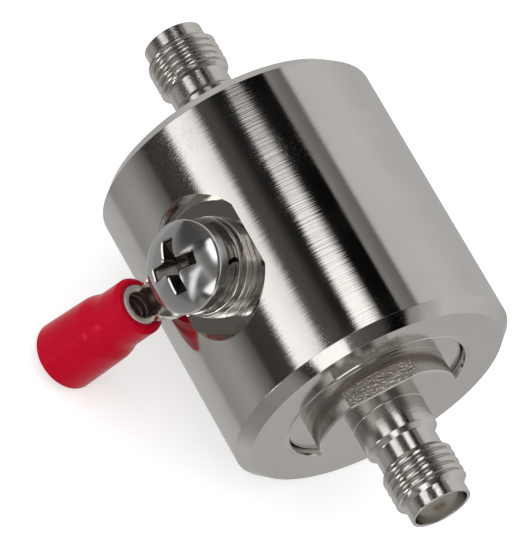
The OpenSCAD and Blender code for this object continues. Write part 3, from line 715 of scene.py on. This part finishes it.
# The tongue's edge, from one side of the neck round its tip to the other side:
# the fillet, the round with its clipped tip, and the other fillet.
touch = math.atan2(tongue_half + tongue_fillet, scoop_x)
fillet_a = np.linspace(-math.pi / 2, touch - math.pi, fillet_steps + 1)
fillet = scoop_x + 1j * (tongue_half + tongue_fillet) + tongue_fillet * np.exp(1j * fillet_a)
round_a = np.linspace(touch, 2 * math.pi - touch, tip_steps + 1)[1:-1]
clipped = np.minimum(tongue_r, (tongue_r - tip_cut) / np.maximum(-np.cos(round_a), 0.5))
edge = np.concatenate([fillet, clipped * np.exp(1j * round_a), np.conj(fillet[::-1])])
way = np.gradient(edge)
edge_n = -1j * way / abs(way)
edge_n[0], edge_n[-1] = 1j, -1j

# Walls of the tongue and of its hole have the rolled edge of the sheet, which
# is a depth in the sheet and an inset from the wall.
rolled = sheet_line.real > tongue_half - sheet_edge - hair
inset, depth, rolled_n = tongue_half - sheet_line[rolled].real, sheet_line[rolled].imag, sheet_n[rolled]


def rolled_wall(wall, outward):
    """A wall over a line of the plan, with the rolled edge of the sheet."""
    return (np.stack([wall.real, wall.imag, seat_h + depth[:, None] + 0 * wall.real], -1),
            np.stack([outward.real * rolled_n.real[:, None], outward.imag * rolled_n.real[:, None],
                      rolled_n.imag[:, None] + 0 * outward.real], -1))


tongue_wall = rolled_wall(edge - edge_n * inset[:, None], edge_n)
neck_low = scoop[0][sheet_line.imag < hair][:0:-1]
neck_high = scoop[0][sheet_line.imag > sheet_t - hair]
tongue_low = np.concatenate([tongue_wall[0][-1], neck_low[1:]])
tongue_high = np.concatenate([tongue_wall[0][0], neck_high[1:]])
ray = tongue_high[:, 0] + 1j * tongue_high[:, 1]
ray /= abs(ray)
hole_wall = rolled_wall(ray * (washer_hole_r + inset[:, None]), -ray)

# The barrel's line starts at its front rim, which has three rounded corners of
# five points. The outside goes on to the fifth corner, and the rest is the bore.
barrel_corners = [
    (barrel_x + barrel_bevel, barrel_bore_r, barrel_bore_round),
    (barrel_x, barrel_bore_r + barrel_bevel, barrel_round), (barrel_x, barrel_r, barrel_fold),
    (barrel_end_x, barrel_r, barrel_round), (barrel_end_x, barrel_bore_r, barrel_round)]
for k in (3, 2, 1):
    here = barrel_x + k * groove_pitch
    barrel_corners += [(x, r, groove_round) for x, r in (
        (here + groove_w, barrel_bore_r), (here + groove_w, groove_r),
        (here, groove_r), (here, barrel_bore_r))]
barrel_line = corner_line(barrel_corners)
rim_last, outside_last = 3 * 5 - 1, 5 * 5 - 1
rim, outside, bore = along_barrel([
    turned(tuple(v[part] for v in barrel_line), round_all)
    for part in (slice(0, rim_last + 1), slice(rim_last, outside_last + 1), slice(outside_last, None))])
skin("ring_terminal_shape", [
    tongue_wall, hole_wall, (scoop, scoop_n), between(tongue_high, hole_wall[0][0], up, 4),
    between(tongue_low, hole_wall[0][-1], -up, 4), between(scoop[-1], middle, ahead),
    # The bore is tin painted dark as shade, and the front rim tin painted bright as a highlight.
    outside, (*bore, 2), (*rim, 1),
], [tin, rim_tin_painted_highlight, bore_tin_painted_shade], "lug", "ring_terminal", LUG_AXES)

# Sleeve: red vinyl, moulded as a funnel and pushed over the barrel. Its wide
# open end takes the insulation of the earth wire.
sleeve_x = 7.24
sleeve_end_x = 17.54
sleeve_r = 2.5
sleeve_bevel = 0.35
sleeve_bevel_round = 0.12
mouth_edge_round = 0.1
grip_r = 1.79
grip_round = 0.05
swell_x = 10.35
swell_end_x = 11.75
swell_r = 2.89
swell_round = 3.0
rim_r = 3.02
rim_round = 0.28
rim_bore_r = 2.42
funnel_x = 13.13
funnel_end_x = barrel_end_x + 0.03
funnel_round = 0.3
funnel_end_round = 0.1

sleeve_line = corner_line([
    (sleeve_x, grip_r, grip_round), (sleeve_x, sleeve_r - sleeve_bevel, mouth_edge_round),
    (sleeve_x + sleeve_bevel, sleeve_r, sleeve_bevel_round), (swell_x, sleeve_r, swell_round),
    (swell_end_x, swell_r, swell_round), (sleeve_end_x, rim_r, rim_round),
    (sleeve_end_x, rim_bore_r, rim_round), (funnel_x, rim_bore_r, funnel_round),
    (funnel_end_x, grip_r, funnel_end_round)], 8)

# Moulded: a colour that is a little cloudy, and grain.
moulded, given, wanted, spot = effect(
    "moulded", {"Color": "Color", "Roughness": "Float", "Clouds": "Float", "Grain": "Float"},
    {"Color": "Color", "Roughness": "Float", "Height": "Float"})
cloud = noise(moulded, spot, per_metre=given["Clouds"], detail=3.0)
shade = ranged(moulded, cloud, 0.3, 0.7, 0.94, 1.05)
cloud_dulling = 0.12
fed(moulded, wanted, {
    "Color": scaled(moulded, given["Color"], shade),
    "Roughness": reckoned(moulded, "MULTIPLY_ADD", cloud, cloud_dulling, given["Roughness"]),
    "Height": noise(moulded, spot, per_metre=given["Grain"], detail=2.0)})


def cast(name, color, roughness, clouds, grain, depth, gloss):
    """A moulded or fired material: so many clouds and grains to the metre, with the
    grain as a bump."""
    stuff = bpy.data.materials.new(name)
    stuff.use_nodes = True
    tree = stuff.node_tree
    made = wired(tree, "ShaderNodeGroup", {"Color": (*color, 1), "Roughness": roughness, "Clouds": clouds,
                                           "Grain": grain}, node_tree=moulded)
    bump = wired(tree, "ShaderNodeBump", {"Height": made.outputs["Height"], "Distance": depth * MM})
    fed(tree, tree.nodes["Principled BSDF"], {
        "Base Color": made.outputs["Color"], "Roughness": made.outputs["Roughness"],
        "Normal": bump.outputs["Normal"], "Specular IOR Level": gloss})
    return stuff


vinyl = cast("red_vinyl", (0.54, 0.0006, 0.021), roughness=0.2, clouds=250.0, grain=2600.0,
             depth=0.03, gloss=0.1)
skin("terminal_sleeve_shape", along_barrel([turned(sleeve_line, round_all)]), [vinyl], "lug",
     "terminal_sleeve", LUG_AXES)

# Inside: the beads and insulators are turned from white fluoropolymer, the
# seals are black rubber cord, and the contacts are gold flashed. The line is
# bright drawn wire, and the gas tube is a glazed ceramic ring between two caps.
polymer = cast("white_polymer", (0.7, 0.68, 0.63), roughness=0.4, clouds=300.0, grain=3000.0,
               depth=0.01, gloss=0.4)
rubber = cast("black_rubber", (0.02, 0.02, 0.021), roughness=0.6, clouds=400.0, grain=5000.0,
              depth=0.02, gloss=0.4)
glazed = cast("glazed_ceramic", (0.86, 0.8, 0.7), roughness=0.12, clouds=200.0, grain=1500.0,
              depth=0.004, gloss=0.6)
gold = plated("gold_flash", (0.83, 0.6, 0.27), roughness=0.14, dulling=0.08, spacing=0.12, depth=0.002,
              grazing=0.9)
drawn = plated("drawn_wire", (0.72, 0.5, 0.3), roughness=0.2, dulling=0.1, spacing=0.2, depth=0.002,
               grazing=0.9)
copper = plated("spring_copper", (0.78, 0.42, 0.27), roughness=0.22, dulling=0.1, spacing=0.4, depth=0.002,
                grazing=0.9)
for stuff, names in (
        (polymer, ["near_bead", "far_bead", "near_insulator", "far_insulator"]),
        (rubber, ["near_seal", "far_seal"]), (gold, ["near_contact", "far_contact"]),
        (drawn, ["centre_conductor"]), (glazed, ["gas_tube_ring"]),
        (nickel, ["gas_tube_line_cap", "gas_tube_earth_cap"]), (copper, ["gas_tube_spring"])):
    for name in names:
        for place in frame["nodes"][name].material_slots:
            place.material = stuff

# Camera: the photograph was taken with a long lens from above, to the right of
# the near jack, and the frame is tilted. Distances from here on are in metres.
camera_azimuth = math.radians(35.77)
camera_elevation = math.radians(48.35)
camera_tilt = math.radians(31.96)
camera_distance = 0.40709
camera_aim = Vector((-0.00097, -0.0027, -0.00135))
back = Vector((math.sin(camera_azimuth) * math.cos(camera_elevation),
               -math.cos(camera_azimuth) * math.cos(camera_elevation), math.sin(camera_elevation)))
lens = bpy.data.cameras.new("camera")
lens.sensor_width = 36
lens.lens = 323.05
lens.clip_start, lens.clip_end = 0.01, 10
camera = bpy.data.objects.new("camera", lens)
bpy.context.collection.objects.link(camera)
camera.matrix_world = (Matrix.Translation(camera_aim + back * camera_distance)
                       @ back.to_track_quat("Z", "Y").to_matrix().to_4x4()
                       @ Matrix.Rotation(camera_tilt, 4, "Z"))
bpy.context.scene.camera = camera

# Floor: a pale table under the housing, whose camera rays are lifted to white.
# The metal doesn't mirror it, because the studio has a pale table of its own.
floor_z = housing_low.z
floor_half = 3.0
floor_grey = 0.8
floor_lift = 0.5
floor_mesh = bpy.data.meshes.new("floor")
floor_mesh.from_pydata([(-floor_half, -floor_half, floor_z), (floor_half, -floor_half, floor_z),
                        (floor_half, floor_half, floor_z), (-floor_half, floor_half, floor_z)],
                       [], [(0, 1, 2, 3)])
floor = bpy.data.objects.new("floor", floor_mesh)
bpy.context.collection.objects.link(floor)
floor.visible_glossy = False
pale = bpy.data.materials.new("pale_floor")
pale.use_nodes = True
tree = pale.node_tree
seen = wired(tree, "ShaderNodeLightPath").outputs["Is Camera Ray"]
fed(tree, tree.nodes["Principled BSDF"], {
    "Base Color": (floor_grey, floor_grey, floor_grey, 1), "Roughness": 0.9,
    "Emission Color": (1, 1, 1, 1), "Emission Strength": reckoned(tree, "MULTIPLY", seen, floor_lift)})
floor_mesh.materials.append(pale)

# Studio: a plain even light, and a room that only metal mirrors. Three strips of
# light, a lamp and the pale table are bright in it, the rest is dark and warm.
# How bright it is goes by the angle round the housing, from screw to floor.
around_far = {
    -180: 0.74, -120: 0.7, -95: 0.2, -60: 0.14, -35: 0.08, -8: 0.08, 8: 0.2, 20: 0.34, 60: 0.36, 84: 0.38,
    100: 0.52, 118: 0.5, 133: 0.72, 180: 0.74}
around_middle = {
    -180: 0.745, -160: 0.7, -145: 0.7, -125: 0.74, -97.7: 0.71, -94.2: 0.18, -88: 0.23, -82: 0.32,
    -80.3: 0.0, -43: 0.01, -37: 0.02, -30: 0.08, -20: 0.1, -10: 0.07, 30.5: 0.05, 33: 0.125, 52: 0.4,
    60: 0.44, 84: 0.39, 91: 0.6, 113: 0.75, 133: 0.68, 147: 0.4, 154: 0.45, 166: 0.7, 180: 0.745}
around_top = {
    -180: 0.7, -150: 0.72, -130: 0.75, -115: 0.72, -104: 0.38, -92: 0.1, -45: 0.18, -28: 0.2, -17: 0.44,
    -9: 0.22, 8: 0.12, 22: 0.2, 48: 0.14, 60: 0.3, 85: 0.36, 95: 0.45, 108: 0.68, 130: 0.7, 143: 0.64,
    151: 0.64, 162: 0.66, 180: 0.7}
around_near = {
    -180: 0.67, -150: 0.62, -122: 0.59, -115: 0.42, -108: 0.38, -105: 0.0, -90: 0.0, -80: 0.08, -60: 0.11,
    -44: 0.15, -33: 0.2, -30.5: 1.62, 14: 1.62, 16: 0.3, 18.5: 0.03, 27: 0.03, 36: 0.26, 44: 0.35, 65: 0.35,
    80: 0.26, 88: 0.31, 99: 0.34, 104: 0.64, 125: 0.66, 147: 0.63, 180: 0.67}
front_strip = {-180: 0.0, -21: 0.0, -18: 0.5, -15: 1.1, -5: 1.35, 5.5: 1.46, 9: 0.2, 11: 0.0, 180: 0.0}
upper_strip = {-180: 0.0, -67: 0.0, -63: 1.1, -59: 1.68, -49.5: 1.7, -47.5: 1.1, -45.5: 0.0, 180: 0.0}
slanted_strip = {-180: 0.0, -16: 0.0, -9: 1.2, 9: 1.2, 16: 0.0, 180: 0.0}
lamp = {-180: 0.0, 24: 0.0, 30: 1.6, 37: 1.6, 43: 0.0, 180: 0.0}
lamp_power = 5.0
brightest = 1.8
warm, white = (1, 0.94, 0.88, 1), (1, 1, 1, 1)
turn_of_degree = 1 / 360

world = bpy.data.worlds.new("studio")
world.use_nodes = True
tree = world.node_tree
toward = wired(tree, "ShaderNodeTexCoord").outputs["Generated"]
along, out, down = (
    wired(tree, "ShaderNodeVectorMath", {0: toward, 1: line}, operation="DOT_PRODUCT").outputs["Value"]
    for line in (housing_line, screw_line, -DRAWN_AXES[1]))
angle = ranged(tree, reckoned(tree, "ARCTAN2", down, out), -math.pi, math.pi)


def banded(levels, place):
    """Brightness by angle, straight between the levels that are given in degrees."""
    ramp = wired(tree, "ShaderNodeValToRGB", {0: place})
    stops = ramp.color_ramp.elements
    while len(stops) < len(levels):
        stops.new(0.5)
    for stop, (degrees, level) in zip(stops, sorted(levels.items())):
        stop.position = (degrees + 180) * turn_of_degree
        stop.color = (level / brightest, level / brightest, level / brightest, 1)
    return ramp.outputs["Color"]


def mixed(share, first, second):
    """The first value at a share of 0, and the second at 1."""
    return wired(tree, "ShaderNodeMix", {0: share, 2: first, 3: second}, data_type="FLOAT").outputs[0]


def times(first, second):
    """One value times another."""
    return reckoned(tree, "MULTIPLY", first, second)


def plus(first, second):
    """One value and another."""
    return reckoned(tree, "ADD", first, second)


def leaning(place, low, high, first, last):
    """A place round the housing, shifted by degrees that go from the first to the last
    while the place along it goes from low to high."""
    return plus(place, ranged(tree, along, low, high, first * turn_of_degree, last * turn_of_degree))


# Along the housing the room changes: what the far end mirrors, the housing's
# side, the top of the screw, and the near end.
to_middle = ranged(tree, along, -0.5, -0.46)
to_top = ranged(tree, along, -0.29, -0.2)
to_near = ranged(tree, along, 0.675, 0.72)
around = mixed(to_middle, banded(around_far, angle), banded(around_middle, angle))
around = mixed(to_top, around, banded(around_top, angle))
around = mixed(to_near, around, banded(around_near, angle))

# The front strip is mirrored by the housing's side, and stands a little askew.
askew = leaning(angle, -0.45, -0.35, 3.5, -3.0)
lights = times(banded(front_strip, askew), times(to_middle, reckoned(tree, "SUBTRACT", 1.0, to_top)))

# The upper strip leans on, gets narrower round its lower edge and dies away
# towards the far end, and ends before the near one.
strip_edge = (-48 + 180) * turn_of_degree
askew = leaning(askew, -0.3, -0.2, 0.0, -3.5)
narrow = ranged(tree, along, -0.375, -0.43, 0.95, 1.75)
narrowed = plus(times(reckoned(tree, "SUBTRACT", askew, strip_edge), narrow), strip_edge)
dying = reckoned(tree, "POWER", ranged(tree, along, -0.36, -0.43), 1.8)
lasting = reckoned(tree, "SUBTRACT", ranged(tree, along, 0.2, 0.42, 1.0, 0.0), dying)
lights = plus(lights, times(banded(upper_strip, narrowed), lasting))

# The slanted strip crosses the near half, and the lamp is seen in the screw.
slanted = leaning(angle, 0.25, 0.55, 3.0, -38.0)
over_near = times(ranged(tree, along, 0.12, 0.2), ranged(tree, along, 0.45, 0.62, 1.0, 0.0))
lights = plus(lights, times(banded(slanted_strip, slanted), over_near))
over_lamp = times(ranged(tree, along, -0.24, -0.1), ranged(tree, along, 0.02, 0.16, 1.0, 0.0))
lights = plus(lights, times(banded(lamp, angle), times(over_lamp, lamp_power)))

# Only what metal mirrors sees the room, and its dark parts are warm.
mirrored = times(plus(around, lights), brightest)
path = wired(tree, "ShaderNodeLightPath").outputs
shining = reckoned(tree, "MAXIMUM", path["Is Glossy Ray"], path["Is Transmission Ray"])
level = mixed(shining, 1.0, mirrored)
tint = wired(tree, "ShaderNodeMix", {0: ranged(tree, level, 0.04, 0.5), 6: warm, 7: white}, data_type="RGBA")
fed(tree, tree.nodes["Background"], {"Strength": level, "Color": tint.outputs[2]})
bpy.context.scene.world = world
bpy.context.scene.view_settings.view_transform = "Standard"
